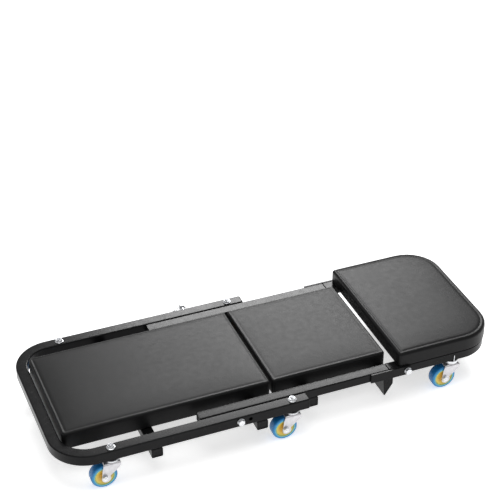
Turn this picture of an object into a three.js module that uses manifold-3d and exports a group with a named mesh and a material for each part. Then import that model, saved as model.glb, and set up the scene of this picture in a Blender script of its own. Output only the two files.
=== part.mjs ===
// Folding mechanics creeper: a low wheeled bed for lying under a vehicle, which folds at two
// hinges into a Z-shaped rolling stool. Millimetres, +X towards the head end, +Z up, floor at
// z = 0. The flat bed is the rest position.
import * as THREE from 'three';
import { mergeVertices } from 'three/addons/utils/BufferGeometryUtils.js';
import Module from 'manifold-3d';

const wasm = await Module();
wasm.setup();

// ---- driving dimensions ----------------------------------------------------------------------
const GAP = 0.3; // clearance left between parts that touch
const TUBE = 25.4; // square steel tube
const WALL = 2; // tube wall
const CORNER = 2.6; // outer corner radius of the tube
const RAIL_TOP = 93;
const RAIL_BOTTOM = RAIL_TOP - TUBE;
const MID_TALL = 22; // the middle and head rails are less tall than the base rails
const MID_BOTTOM = RAIL_TOP - MID_TALL;
const AXIS_Z = RAIL_TOP - MID_TALL / 2; // height of both hinge axes
const X_OFFSET = 2; // centres the box in X
const Y_OFFSET = 10; // centres the box in Y, since the lock pin stands out on one side only

const FOOT_X = -508; // round end of the base frame
const HEAD_X = 512; // round end of the head section
const BASE_END_X = 42.5; // open ends of the base rails
const BASE_HALF = 204; // outer face of the base rails
const BASE_BEND = 84; // outer bend radius of the base frame
const BASE_CROSS = [-311, -76.5]; // start of each cross tube under the base
const CROSS_W = 25;
const CROSS_BOTTOM = 45.1;
const MID_CROSS_BOTTOM = 46.7;

const MID_HALF = 177.4; // outer face of the middle and head rails
const MID_X = [-193.5, 244];
const MID_CROSS_X = 51;
const PIVOT_X = -113.5;
const LOCK_X = -91;
const HINGE_X = 288;
const HEAD_TAIL = 42; // head rails run this far back past the hinge
const HEAD_BEND = 78;
const HEAD_CROSS_X = 332;
const PLATE = { x0: 200, thick: 4 };

const PAD_TOP = 110.5;
const PAD_HALF = 136;
const PAD_EDGE = 5; // rolled edge of the pads
const BASE_PAD_X = [-478.5, -18.5];
const MID_PAD_X = [-13.5, 254];
const HEAD_PAD = { x0: 268, half: 177, bottom: 93.4, top: 127.5, edge: 7 };
const BOARD = 8;
const BOARD_INSET = 9.5;

const BOLT_R = 5;
const HOLE_R = 5.4;
const PIN = { r: 4, hole: 4.4, travel: 16 };
const RING = { major: 13, wire: 1.2 };

const WHEEL_R = 28.5;
const TREAD_HALF = 11;
const TREAD_IN = 20;
const TRAIL = 20;
const FORK_IN = 12.5; // inner face of the fork's legs
const FORK_THICK = 2.3;
const CASTERS = [
  { name: 'foot_near', x: -393, y: -191.3, nut: true },
  { name: 'foot_far', x: -393, y: 191.3, nut: true },
  { name: 'mid_near', x: 8.6, y: -191.3, nut: true },
  { name: 'mid_far', x: 8.6, y: 191.3, nut: true },
  { name: 'head_near', x: 405, y: -164.7, nut: false },
  { name: 'head_far', x: 405, y: 164.7, nut: false },
];

// ---- materials -------------------------------------------------------------------------------
const paint = (name, color, roughness, metalness) => {
  const m = new THREE.MeshStandardMaterial({ color, roughness, metalness });
  m.name = name;
  return m;
};
const blackSteel = () => paint('powder_coated_steel', 0x1a1a1b, 0.5, 0.3);
const vinyl = () => paint('black_vinyl', 0x161617, 0.42, 0);
const board = () => paint('pad_board', 0x3a3a3c, 0.8, 0);
const zinc = () => paint('zinc_steel', 0xc9cbcd, 0.32, 1);
const blueTread = () => paint('blue_tread', 0x1c6fb4, 0.4, 0);
const amberCore = () => paint('amber_core', 0xd9a93a, 0.45, 0);

// ---- solids ----------------------------------------------------------------------------------
function solid(geometry) {
  const g = geometry.clone();
  for (const key of Object.keys(g.attributes)) {
    if (key !== 'position') g.deleteAttribute(key);
  }
  const merged = mergeVertices(g, 1e-4);
  return new wasm.Manifold(new wasm.Mesh({
    numProp: 3,
    vertProperties: new Float32Array(merged.attributes.position.array),
    triVerts: new Uint32Array(merged.index.array),
  }));
}

function geometry(manifold) {
  const mesh = manifold.getMesh();
  const g = new THREE.BufferGeometry();
  g.setAttribute('position', new THREE.BufferAttribute(mesh.vertProperties, 3));
  g.setIndex(new THREE.BufferAttribute(mesh.triVerts, 1));
  g.computeVertexNormals();
  return g;
}

const cut = (geom, ...tools) =>
  geometry(tools.reduce((body, tool) => body.subtract(solid(tool)), solid(geom)));
const join = (...parts) =>
  geometry(parts.slice(1).reduce((body, p) => body.add(solid(p)), solid(parts[0])));

// The shape's own plane (x, y) becomes (Y, Z) and its depth runs along +X.
const ALONG_X = new THREE.Matrix4().set(0, 0, 1, 0, 1, 0, 0, 0, 0, 1, 0, 0, 0, 0, 0, 1);
// The shape's own plane (x, y) becomes (Z, X) and its depth runs along +Y.
const ALONG_Y = new THREE.Matrix4().set(0, 1, 0, 0, 0, 0, 1, 0, 1, 0, 0, 0, 0, 0, 0, 1);

function prism(shape, depth, segments = 3) {
  return new THREE.ExtrudeGeometry(shape, { depth, bevelEnabled: false, curveSegments: segments });
}

function roundedRect(x0, y0, x1, y1, radii, path = new THREE.Shape()) {
  const [a, b, c, d] = Array.isArray(radii) ? radii : [radii, radii, radii, radii];
  path.moveTo(x0 + a, y0);
  path.lineTo(x1 - b, y0);
  path.absarc(x1 - b, y0 + b, b, -Math.PI / 2, 0, false);
  path.lineTo(x1, y1 - c);
  path.absarc(x1 - c, y1 - c, c, 0, Math.PI / 2, false);
  path.lineTo(x0 + d, y1);
  path.absarc(x0 + d, y1 - d, d, Math.PI / 2, Math.PI, false);
  path.lineTo(x0, y0 + a);
  path.absarc(x0 + a, y0 + a, a, Math.PI, Math.PI * 1.5, false);
  return path;
}

function tubeShape(x0, y0, x1, y1) {
  const shape = roundedRect(x0, y0, x1, y1, CORNER);
  shape.holes.push(new THREE.Path([
    new THREE.Vector2(x0 + WALL, y0 + WALL),
    new THREE.Vector2(x1 - WALL, y0 + WALL),
    new THREE.Vector2(x1 - WALL, y1 - WALL),
    new THREE.Vector2(x0 + WALL, y1 - WALL),
  ]));
  return shape;
}

function tubeX(x0, x1, y0, y1, z0, z1) {
  const g = prism(tubeShape(y0, z0, y1, z1), x1 - x0, 2);
  return g.applyMatrix4(ALONG_X).translate(x0, 0, 0);
}

function tubeY(y0, y1, x0, x1, z0, z1) {
  const g = prism(tubeShape(z0, x0, z1, x1), y1 - y0, 2);
  return g.applyMatrix4(ALONG_Y).translate(0, y0, 0);
}

function cylinderY(x, z, r, y0, y1, sides = 20) {
  const g = new THREE.CylinderGeometry(r, r, y1 - y0, sides);
  return g.translate(x, (y0 + y1) / 2, z);
}

function cylinderZ(x, y, r, z0, z1, sides = 20) {
  const g = new THREE.CylinderGeometry(r, r, z1 - z0, sides);
  return g.rotateX(Math.PI / 2).translate(x, y, (z0 + z1) / 2);
}

// Loop of section points of a tube, measured from its centre line.
function section(halfWide, halfTall, radius, steps) {
  const points = [];
  for (let corner = 0; corner < 4; corner += 1) {
    const cx = [1, -1, -1, 1][corner] * (halfWide - radius);
    const cy = [1, 1, -1, -1][corner] * (halfTall - radius);
    for (let i = 0; i <= steps; i += 1) {
      const a = steps ? ((corner + i / steps) * Math.PI) / 2 : 0;
      points.push([cx + radius * Math.cos(a), cy + radius * Math.sin(a)]);
    }
  }
  return points;
}

// A solid with the given section swept along stations, each with its place and its normal.
function sweep(stations, loop, zMid, flip) {
  const positions = [];
  const index = [];
  const n = loop.length;
  const tri = (a, b, c) => (flip ? index.push(a, c, b) : index.push(a, b, c));
  for (const s of stations) {
    for (const [u, v] of loop) positions.push(s.x + u * s.nx, s.y + u * s.ny, zMid + v);
  }
  for (let s = 0; s < stations.length - 1; s += 1) {
    for (let i = 0; i < n; i += 1) {
      const j = (i + 1) % n;
      tri(s * n + i, s * n + j, (s + 1) * n + j);
      tri(s * n + i, (s + 1) * n + j, (s + 1) * n + i);
    }
  }
  const last = (stations.length - 1) * n;
  for (let i = 1; i < n - 1; i += 1) {
    tri(0, i + 1, i);
    tri(last, last + i, last + i + 1);
  }
  const g = new THREE.BufferGeometry();
  g.setAttribute('position', new THREE.Float32BufferAttribute(positions, 3));
  g.setIndex(index);
  return g;
}

// A hollow tube bent into a U in plan: two legs along X joined by a bar with two bends.
// side is -1 when the round end points to -X and +1 when it points to +X.
function bentTube(openX, roundX, half, bend, side, tall) {
  const r = bend - TUBE / 2;
  const yMid = half - TUBE / 2;
  const cx = roundX - side * (TUBE / 2 + r);
  const steps = 7;
  const stations = (endX) => {
    const list = [{ x: endX, y: -yMid, nx: 0, ny: -1 }];
    for (const turn of [-1, 1]) {
      for (let i = 0; i <= steps; i += 1) {
        const a = ((turn < 0 ? i : steps - i) / steps) * (Math.PI / 2);
        const nx = side * Math.sin(a);
        const ny = turn * Math.cos(a);
        list.push({ x: cx + r * nx, y: turn * (yMid - r) + r * ny, nx, ny });
      }
    }
    list.push({ x: endX, y: yMid, nx: 0, ny: 1 });
    return list;
  };
  const outer = section(TUBE / 2, tall / 2, CORNER, 2);
  const inner = section(TUBE / 2 - WALL, tall / 2 - WALL, 0, 0);
  const zMid = RAIL_TOP - tall / 2;
  return cut(
    sweep(stations(openX), outer, zMid, side > 0),
    sweep(stations(openX - side * 2), inner, zMid, side > 0),
  );
}

// Outline of a pad in plan, with its own radius at the -X and +X corners, shrunk by inset.
function outline(x0, x1, half, rLow, rHigh, inset, steps) {
  const a = Math.max(rLow - inset, 0.5);
  const b = Math.max(rHigh - inset, 0.5);
  const corners = [
    [x1 - inset - b, half - inset - b, b],
    [x0 + inset + a, half - inset - a, a],
    [x0 + inset + a, -(half - inset - a), a],
    [x1 - inset - b, -(half - inset - b), b],
  ];
  const points = [];
  corners.forEach(([cx, cy, r], k) => {
    for (let i = 0; i <= steps; i += 1) {
      const t = ((k + i / steps) * Math.PI) / 2;
      points.push([cx + r * Math.cos(t), cy + r * Math.sin(t)]);
    }
  });
  return points;
}

// A closed stack of outlines: levels are [z, inset] from the lowest to the highest.
function stack(x0, x1, half, rLow, rHigh, levels, steps = 5) {
  const positions = [];
  const index = [];
  const n = 4 * (steps + 1);
  for (const [z, inset] of levels) {
    for (const [x, y] of outline(x0, x1, half, rLow, rHigh, inset, steps)) positions.push(x, y, z);
  }
  for (let s = 0; s < levels.length - 1; s += 1) {
    for (let i = 0; i < n; i += 1) {
      const j = (i + 1) % n;
      const o = s * n;
      index.push(o + i, o + j, o + n + j, o + i, o + n + j, o + n + i);
    }
  }
  const top = (levels.length - 1) * n;
  for (let i = 1; i < n - 1; i += 1) {
    index.push(0, i + 1, i);
    index.push(top, top + i, top + i + 1);
  }
  const g = new THREE.BufferGeometry();
  g.setAttribute('position', new THREE.Float32BufferAttribute(positions, 3));
  g.setIndex(index);
  return g;
}

function boardSolid(x0, x1, half, rLow, rHigh, z0, grow = 0) {
  const levels = [[z0 - 4 * grow, -grow], [z0 + BOARD + grow, -grow]];
  return stack(x0, x1, half, rLow, rHigh, levels);
}

// Padding with a rolled top edge, hollowed underneath to take its board.
function padSolid(x0, x1, half, rLow, rHigh, z0, z1, edge, boardZ) {
  const levels = [[z0, 2], [z0 + 2, 0]];
  for (const a of [0, 45, 90]) {
    const t = (a * Math.PI) / 180;
    levels.push([z1 - edge + edge * Math.sin(t), edge * (1 - Math.cos(t))]);
  }
  const pad = stack(x0, x1, half, rLow, rHigh, levels);
  const i = BOARD_INSET;
  const pocket = boardSolid(
    x0 + i, x1 - i, half - i, Math.max(rLow - i, 2), Math.max(rHigh - i, 2), boardZ, GAP,
  );
  return cut(pad, pocket);
}

// A bolt across the rails: hexagon head outside, nut inside, both with a washer.
function crossBolt(x, side, headFace, nutFace, radius) {
  const span = (a, b) => [Math.min(side * a, side * b), Math.max(side * a, side * b)];
  const parts = [
    cylinderY(x, AXIS_Z, radius, ...span(nutFace - 6, headFace + 5), 10),
    cylinderY(x, AXIS_Z, 8, ...span(headFace, headFace + 1.8), 14),
    cylinderY(x, AXIS_Z, 7.5, ...span(headFace + 1.2, headFace + 7.4), 6),
    cylinderY(x, AXIS_Z, 7.5, ...span(nutFace - 5, nutFace), 6),
  ];
  return join(...parts);
}

// ---- the assembly ----------------------------------------------------------------------------
const creeper = new THREE.Group();
creeper.name = 'mechanics_creeper';
const sections = {};
for (const name of ['base', 'middle', 'head']) {
  sections[name] = new THREE.Group();
  creeper.add(sections[name]);
}

function add(group, name, geom, material) {
  const mesh = new THREE.Mesh(geom, material);
  mesh.name = name;
  group.add(mesh);
  return mesh;
}

const sides = { near: -1, far: 1 };

// Base: bent frame, two cross tubes, pad and board.
const baseFrameCuts = [];
for (const c of CASTERS.filter((k) => k.nut)) {
  baseFrameCuts.push(cylinderZ(c.x, c.y, HOLE_R, RAIL_BOTTOM - 5, RAIL_TOP + 5, 12));
}
for (const s of [-1, 1]) {
  const y = s * (BASE_HALF - TUBE / 2);
  baseFrameCuts.push(cylinderY(PIVOT_X, AXIS_Z, HOLE_R, y - 20, y + 20, 12));
  baseFrameCuts.push(cylinderY(LOCK_X, AXIS_Z, PIN.hole, y - 20, y + 20, 12));
}
add(
  sections.base, 'base_frame_tube',
  cut(bentTube(BASE_END_X, FOOT_X, BASE_HALF, BASE_BEND, -1, TUBE), ...baseFrameCuts),
  blackSteel(),
);
['foot', 'pivot'].forEach((where, k) => {
  const x = BASE_CROSS[k];
  const tube = tubeY(-BASE_HALF, BASE_HALF, x, x + CROSS_W, CROSS_BOTTOM, RAIL_BOTTOM - GAP);
  add(sections.base, `base_cross_tube_${where}`, tube, blackSteel());
});
add(
  sections.base, 'base_pad_board',
  boardSolid(
    BASE_PAD_X[0] + BOARD_INSET, BASE_PAD_X[1] - BOARD_INSET, PAD_HALF - BOARD_INSET,
    4, 2, RAIL_BOTTOM,
  ),
  board(),
);
add(
  sections.base, 'base_pad',
  padSolid(...BASE_PAD_X, PAD_HALF, 10, 6, RAIL_BOTTOM + 1.4, PAD_TOP, PAD_EDGE, RAIL_BOTTOM),
  vinyl(),
);

// Middle: two rails, cross tube, stop tube, spine bar, hinge plates, pad and board.
for (const [side, s] of Object.entries(sides)) {
  const y0 = Math.min(s * MID_HALF, s * (MID_HALF - TUBE));
  const rail = tubeX(...MID_X, y0, y0 + TUBE, MID_BOTTOM, RAIL_TOP);
  const pivotHole = cylinderY(PIVOT_X, AXIS_Z, HOLE_R, y0 - 5, y0 + TUBE + 5, 12);
  const lockHole = cylinderY(LOCK_X, AXIS_Z, PIN.hole + 0.2, y0 - 5, y0 + TUBE + 5, 12);
  add(sections.middle, `middle_rail_${side}`, cut(rail, pivotHole, lockHole), blackSteel());

  const half = MID_TALL / 2;
  const flat = new THREE.Shape();
  flat.moveTo(MID_BOTTOM, PLATE.x0);
  flat.lineTo(RAIL_TOP, PLATE.x0);
  flat.lineTo(RAIL_TOP, HINGE_X);
  for (let i = 1; i <= 10; i += 1) {
    const a = (i / 10) * Math.PI;
    flat.lineTo(AXIS_Z + half * Math.cos(a), HINGE_X + half * Math.sin(a));
  }
  const bore = new THREE.Path();
  bore.absarc(AXIS_Z, HINGE_X, HOLE_R, 0, Math.PI * 2, true);
  flat.holes.push(bore);
  const plateY = s > 0 ? MID_HALF + GAP : -(MID_HALF + GAP + PLATE.thick);
  const plate = prism(flat, PLATE.thick, 8).applyMatrix4(ALONG_Y).translate(0, plateY, 0);
  add(sections.middle, `hinge_plate_${side}`, plate, blackSteel());
}
add(
  sections.middle, 'middle_cross_tube',
  tubeY(
    -MID_HALF, MID_HALF, MID_CROSS_X, MID_CROSS_X + CROSS_W, MID_CROSS_BOTTOM, MID_BOTTOM - GAP,
  ),
  blackSteel(),
);
// The stop tube's sloping face meets the underside of the head rails when the seat is formed.
const stopTop = MID_BOTTOM - GAP;
const stopShape = new THREE.Shape([
  new THREE.Vector2(stopTop, 232),
  new THREE.Vector2(stopTop, 255.5),
  new THREE.Vector2(52.5, 255.5),
  new THREE.Vector2(24.5, 238),
  new THREE.Vector2(24.5, 235.6),
]);
stopShape.holes.push(new THREE.Path([
  new THREE.Vector2(stopTop - 2.2, 234.6),
  new THREE.Vector2(stopTop - 2.2, 253.2),
  new THREE.Vector2(53.9, 253.2),
  new THREE.Vector2(32, 239.1),
  new THREE.Vector2(32, 237),
]));
add(
  sections.middle, 'middle_stop_tube',
  prism(stopShape, 2 * MID_HALF).applyMatrix4(ALONG_Y).translate(0, -MID_HALF, 0),
  blackSteel(),
);
const spine = tubeX(MID_CROSS_X + CROSS_W + GAP, 231.6, -10, 10, 49, stopTop);
const slot = roundedRect(206, -3.5, 222, 3.5, 3.4);
add(sections.middle, 'middle_spine_bar', cut(spine, prism(slot, 8, 4).translate(0, 0, 44)), blackSteel());
add(
  sections.middle, 'middle_pad_board',
  boardSolid(
    MID_PAD_X[0] + BOARD_INSET, MID_PAD_X[1] - BOARD_INSET, PAD_HALF - BOARD_INSET,
    2, 2, MID_BOTTOM,
  ),
  board(),
);
add(
  sections.middle, 'middle_pad',
  padSolid(...MID_PAD_X, PAD_HALF, 6, 6, MID_BOTTOM + 1.4, PAD_TOP, PAD_EDGE, MID_BOTTOM),
  vinyl(),
);

// Head: bent frame, cross tube, pad and board.
const headCuts = [];
for (const c of CASTERS.filter((k) => !k.nut)) {
  headCuts.push(cylinderZ(c.x, c.y, HOLE_R, MID_BOTTOM - 5, AXIS_Z, 12));
}
for (const s of [-1, 1]) {
  const y = s * (MID_HALF - TUBE / 2);
  headCuts.push(cylinderY(HINGE_X, AXIS_Z, HOLE_R, y - 20, y + 20, 12));
}
add(
  sections.head, 'head_frame_tube',
  cut(
    bentTube(HINGE_X - HEAD_TAIL, HEAD_X - 2, MID_HALF, HEAD_BEND, 1, MID_TALL),
    ...headCuts,
  ),
  blackSteel(),
);
const innerHalf = MID_HALF - TUBE - GAP;
add(
  sections.head, 'head_cross_tube',
  tubeY(
    -innerHalf, innerHalf, HEAD_CROSS_X, HEAD_CROSS_X + CROSS_W, MID_BOTTOM + GAP, RAIL_TOP - GAP,
  ),
  blackSteel(),
);
const hp = HEAD_PAD;
const headBend = HEAD_BEND - 0.4;
add(
  sections.head, 'head_pad_board',
  boardSolid(
    hp.x0 + BOARD_INSET, HEAD_X - BOARD_INSET, hp.half - BOARD_INSET,
    2, headBend - BOARD_INSET, RAIL_TOP + GAP,
  ),
  board(),
);
add(
  sections.head, 'head_pad',
  padSolid(hp.x0, HEAD_X, hp.half, 7, headBend, hp.bottom, hp.top, hp.edge, RAIL_TOP + GAP),
  vinyl(),
);

// Bolts of the two hinges.
for (const [side, s] of Object.entries(sides)) {
  const inner = MID_HALF - TUBE - GAP;
  const pivot = crossBolt(PIVOT_X, s, BASE_HALF + GAP, inner, BOLT_R);
  add(sections.base, `pivot_bolt_${side}`, pivot, zinc());
  const hinge = crossBolt(HINGE_X, s, MID_HALF + PLATE.thick + 2 * GAP, inner, BOLT_R);
  add(sections.middle, `hinge_bolt_${side}`, hinge, zinc());
}

// Lock pin, drawn out at rest, with a ring through the cross hole in its outer end.
const pinTip = BASE_HALF - TUBE + 0.6;
const collar = BASE_HALF + GAP + PIN.travel;
const ringY = collar + 7;
const pin = join(
  cylinderY(LOCK_X, AXIS_Z, PIN.r, pinTip, collar + 1, 16),
  cylinderY(LOCK_X, AXIS_Z, 7, collar, collar + 2.6, 16),
  cylinderY(LOCK_X, AXIS_Z, 4.5, collar + 1.6, ringY + 4.6, 16),
);
const eye = new THREE.CylinderGeometry(2.1, 2.1, 14, 10).rotateZ(Math.PI / 2);
add(sections.base, 'lock_pin', cut(pin, eye.translate(LOCK_X, ringY, AXIS_Z)), zinc());
const ring = new THREE.TorusGeometry(RING.major, RING.wire, 7, 26).rotateX(Math.PI / 2);
const ringZ = AXIS_Z - RING.major + 0.3;
add(sections.base, 'pull_ring', ring.translate(LOCK_X, ringY, ringZ), zinc());

// ---- casters ---------------------------------------------------------------------------------
function lathe(points, segments) {
  const g = new THREE.LatheGeometry(points.map(([r, h]) => new THREE.Vector2(r, h)), segments);
  return g;
}

// Profiles are [radius, height]; the lathe turns about Y, so a quarter turn stands it up in Z.
function stemGeometry(seat, top) {
  const profile = [
    [0, 56.9], [6.6, 56.9], [6.6, 59.1], [4, 59.1], [4, 63.9], [15.6, 63.9],
    [15.6, seat - GAP], [BOLT_R, seat - GAP], [BOLT_R, top - 1], [BOLT_R - 1, top], [0, top],
  ];
  return lathe(profile, 14).rotateX(Math.PI / 2);
}

// Fork leg outline in the (X, Z) plane: wide at the crown, narrowing to the axle.
function legShape() {
  const shape = new THREE.Shape();
  const r = 10;
  shape.moveTo(61.5, -19);
  shape.lineTo(61.5, 16);
  shape.lineTo(54, 15);
  for (let i = 0; i <= 6; i += 1) {
    const a = Math.PI * (0.18 + (i / 6) * 1.35);
    shape.lineTo(WHEEL_R - 3 + r * Math.cos(a), -TRAIL + 3 + r * Math.sin(a));
  }
  shape.lineTo(46, -24.5);
  shape.lineTo(57, -22);
  const bore = new THREE.Path();
  bore.absarc(WHEEL_R, -TRAIL, 4.3, 0, Math.PI * 2, true);
  shape.holes.push(bore);
  return shape;
}

function forkGeometry() {
  const inner = FORK_IN;
  const thick = FORK_THICK;
  const crown = prism(roundedRect(-19, -inner - thick, 16, inner + thick, 3), 2.5, 2)
    .translate(0, 0, 59.4);
  const race = cylinderZ(0, 0, 15.4, 61.4, 63.6, 14);
  const legs = [-inner - thick, inner].map((y) =>
    prism(legShape(), thick, 4).applyMatrix4(ALONG_Y).translate(0, y, 0));
  return cut(join(crown, race, ...legs), cylinderZ(0, 0, 4.5, 50, 70, 10));
}

function treadGeometry() {
  const w = TREAD_HALF;
  const profile = [
    [TREAD_IN, -w], [WHEEL_R - 3, -w], [WHEEL_R, -w + 4], [WHEEL_R, w - 4],
    [WHEEL_R - 3, w], [TREAD_IN, w], [TREAD_IN, -w],
  ];
  return lathe(profile, 26);
}

function coreGeometry() {
  const rim = TREAD_IN - GAP;
  const w = TREAD_HALF - 0.6;
  const hub = FORK_IN - 0.4;
  const profile = [
    [4.4, -hub], [8, -hub], [9, -w + 3], [rim - 2.6, -w + 3], [rim, -w],
    [rim, w], [rim - 2.6, w - 3], [9, w - 3], [8, hub], [4.4, hub], [4.4, -hub],
  ];
  return lathe(profile, 18);
}

function axleGeometry() {
  const face = FORK_IN + FORK_THICK + GAP;
  return join(
    cylinderY(0, 0, 4, -face - 4, face + 4, 12),
    cylinderY(0, 0, 7.4, -face - 5, -face, 6),
    cylinderY(0, 0, 7.4, face, face + 5.4, 6),
  );
}

// Thin pin that stands on the edge of a head caster's flange, against the outside of the rail, and
// keeps the stem from turning.
function antiTurnPin(side) {
  return cylinderZ(0, side * 14.4, 0.95, 68, RAIL_TOP - 6, 8);
}

function nutGeometry() {
  const z = RAIL_TOP + GAP;
  const body = join(cylinderZ(0, 0, 9.4, z, z + 1.6, 16), cylinderZ(0, 0, 7.6, z + 1, z + 6, 6));
  return cut(body, cylinderZ(0, 0, BOLT_R + 0.35, z - 2, z + 12, 12));
}

const shared = {
  fork: forkGeometry(), tread: treadGeometry(), core: coreGeometry(), axle: axleGeometry(),
  nut: nutGeometry(),
};
for (const c of CASTERS) {
  const section_ = c.nut ? sections.base : sections.head;
  const unit = new THREE.Group();
  unit.position.set(c.x, c.y, 0);
  section_.add(unit);
  const stem = c.nut
    ? stemGeometry(RAIL_BOTTOM, RAIL_TOP + 8)
    : join(stemGeometry(MID_BOTTOM, RAIL_TOP - WALL - 4), antiTurnPin(Math.sign(c.y)));
  add(unit, `caster_${c.name}_stem`, stem, zinc());
  add(unit, `caster_${c.name}_fork`, shared.fork, zinc());
  const wheel = new THREE.Group();
  wheel.position.set(-TRAIL, 0, WHEEL_R);
  unit.add(wheel);
  add(wheel, `caster_${c.name}_axle`, shared.axle, zinc());
  add(wheel, `caster_${c.name}_core`, shared.core, amberCore());
  add(wheel, `caster_${c.name}_tread`, shared.tread, blueTread());
  if (c.nut) add(unit, `caster_${c.name}_nut`, shared.nut, zinc());
}

creeper.position.set(-X_OFFSET, -Y_OFFSET, 0);
creeper.updateMatrixWorld(true);

export default creeper;
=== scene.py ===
"""Looks of a folding mechanics creeper: bent square-tube frames, padded boards and six casters.

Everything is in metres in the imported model's frame: +X towards the head, +Z up, floor at z = 0.
"""

import math

import bmesh
import bpy
import numpy as np
from mathutils import Matrix, Vector, noise
from mathutils.bvhtree import BVHTree
from mathutils.interpolate import poly_3d_calc


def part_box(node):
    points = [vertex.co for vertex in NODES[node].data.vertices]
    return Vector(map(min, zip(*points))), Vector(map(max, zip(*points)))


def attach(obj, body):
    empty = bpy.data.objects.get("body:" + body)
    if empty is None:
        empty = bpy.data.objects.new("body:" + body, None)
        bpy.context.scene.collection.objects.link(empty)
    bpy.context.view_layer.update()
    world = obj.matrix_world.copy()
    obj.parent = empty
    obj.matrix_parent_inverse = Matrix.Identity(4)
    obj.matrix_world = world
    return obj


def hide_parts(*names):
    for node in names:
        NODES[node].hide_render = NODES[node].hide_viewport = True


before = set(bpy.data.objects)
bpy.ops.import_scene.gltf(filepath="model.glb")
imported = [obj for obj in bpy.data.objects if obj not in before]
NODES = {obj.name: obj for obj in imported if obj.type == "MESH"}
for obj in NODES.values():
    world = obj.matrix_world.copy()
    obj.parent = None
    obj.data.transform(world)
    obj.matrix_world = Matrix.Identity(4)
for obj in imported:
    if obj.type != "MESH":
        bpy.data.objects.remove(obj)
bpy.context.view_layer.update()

SCENE = bpy.context.scene
MM = 0.001
TAU = 2 * math.pi
UP = Vector((0, 0, 1))
SIDES = {"near": -1, "far": 1}
CASTERS = ["foot_near", "foot_far", "mid_near", "mid_far", "head_near", "head_far"]
MID_Y = sum(corner[1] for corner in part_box("base_frame_tube")) / 2  # the plane of symmetry


# ---- node materials ---------------------------------------------------------------------------
class Material:
    """A Principled material with short helpers for its texture nodes."""

    def __init__(self, name, colour, roughness, metallic=0.0):
        self.material = bpy.data.materials.new(name)
        self.material.use_nodes = True
        self.tree = self.material.node_tree
        self.shader = self.tree.nodes["Principled BSDF"]
        self.shader.inputs["Base Color"].default_value = (*colour, 1)
        self.shader.inputs["Roughness"].default_value = roughness
        self.shader.inputs["Metallic"].default_value = metallic
        self.coordinates = self.tree.nodes.new("ShaderNodeTexCoord").outputs["Object"]
        self.normal = None

    def link(self, source, target):
        self.tree.links.new(source, target)

    def stretched(self, scale):
        """Coordinates scaled by axis, which draws a texture out along the smaller ones."""
        node = self.tree.nodes.new("ShaderNodeMapping")
        node.inputs["Scale"].default_value = scale
        self.link(self.coordinates, node.inputs["Vector"])
        return node.outputs["Vector"]

    def noise(self, scale, detail=3.0, vector=None, rough=0.5):
        node = self.tree.nodes.new("ShaderNodeTexNoise")
        node.inputs["Scale"].default_value = scale
        node.inputs["Detail"].default_value = detail
        node.inputs["Roughness"].default_value = rough
        self.link(vector or self.coordinates, node.inputs["Vector"])
        return node.outputs["Fac"]

    def cells(self, scale, feature="F1"):
        node = self.tree.nodes.new("ShaderNodeTexVoronoi")
        node.feature = feature
        node.inputs["Scale"].default_value = scale
        self.link(self.coordinates, node.inputs["Vector"])
        return node.outputs["Distance"]

    def attribute(self, name):
        node = self.tree.nodes.new("ShaderNodeAttribute")
        node.attribute_name = name
        return node.outputs["Fac"]

    def ramp(self, factor, stops):
        """Colour ramp through (position, colour) stops."""
        node = self.tree.nodes.new("ShaderNodeValToRGB")
        ramp = node.color_ramp
        while len(ramp.elements) < len(stops):
            ramp.elements.new(0.5)
        for element, (place, colour) in zip(ramp.elements, stops):
            element.position = place
            element.color = (*colour, 1)
        self.link(factor, node.inputs["Fac"])
        return node.outputs["Color"]

    def spread(self, factor, low, high):
        """Maps the middle of a noise's range, 0.3 to 0.7, to low to high."""
        node = self.tree.nodes.new("ShaderNodeMapRange")
        node.inputs["From Min"].default_value = 0.3
        node.inputs["From Max"].default_value = 0.7
        node.inputs["To Min"].default_value = low
        node.inputs["To Max"].default_value = high
        self.link(factor, node.inputs["Value"])
        return node.outputs["Result"]

    def colour(self, output):
        self.link(output, self.shader.inputs["Base Color"])

    def roughness(self, output):
        self.link(output, self.shader.inputs["Roughness"])

    def bump(self, height, strength, distance):
        """Adds a layer of bump on top of the layers already there."""
        node = self.tree.nodes.new("ShaderNodeBump")
        node.inputs["Strength"].default_value = strength
        node.inputs["Distance"].default_value = distance
        self.link(height, node.inputs["Height"])
        if self.normal is not None:
            self.link(self.normal, node.inputs["Normal"])
        self.normal = node.outputs["Normal"]
        self.link(self.normal, self.shader.inputs["Normal"])

    def set(self, **values):
        for key, value in values.items():
            self.shader.inputs[key.replace("_", " ")].default_value = value


def powder_coat():
    m = Material("powder_coat", (0.007, 0.007, 0.0075), 0.26)
    patches = m.noise(30, 4)
    m.colour(m.ramp(patches, [(0.3, (0.0055, 0.0055, 0.006)), (0.7, (0.0085, 0.0085, 0.009))]))
    m.roughness(m.spread(m.noise(90, 5), 0.23, 0.28))
    m.bump(m.noise(750, 3, rough=0.6), 0.07, 0.00022)
    m.bump(m.noise(70, 2), 0.015, 0.0006)
    m.set(Specular_IOR_Level=0.12)
    return m.material


def vinyl():
    m = Material("vinyl", (0.0065, 0.0065, 0.007), 0.38)
    tone = m.noise(36, 4)
    m.colour(m.ramp(tone, [(0.3, (0.0056, 0.0056, 0.0059)), (0.7, (0.0074, 0.0074, 0.0076))]))
    m.roughness(m.spread(m.noise(80, 5), 0.37, 0.41))
    m.bump(m.cells(520, "SMOOTH_F1"), 0.12, 0.00022)
    m.bump(m.noise(900, 4, rough=0.65), 0.08, 0.00018)
    m.set(Specular_IOR_Level=0.142)
    return m.material


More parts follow.
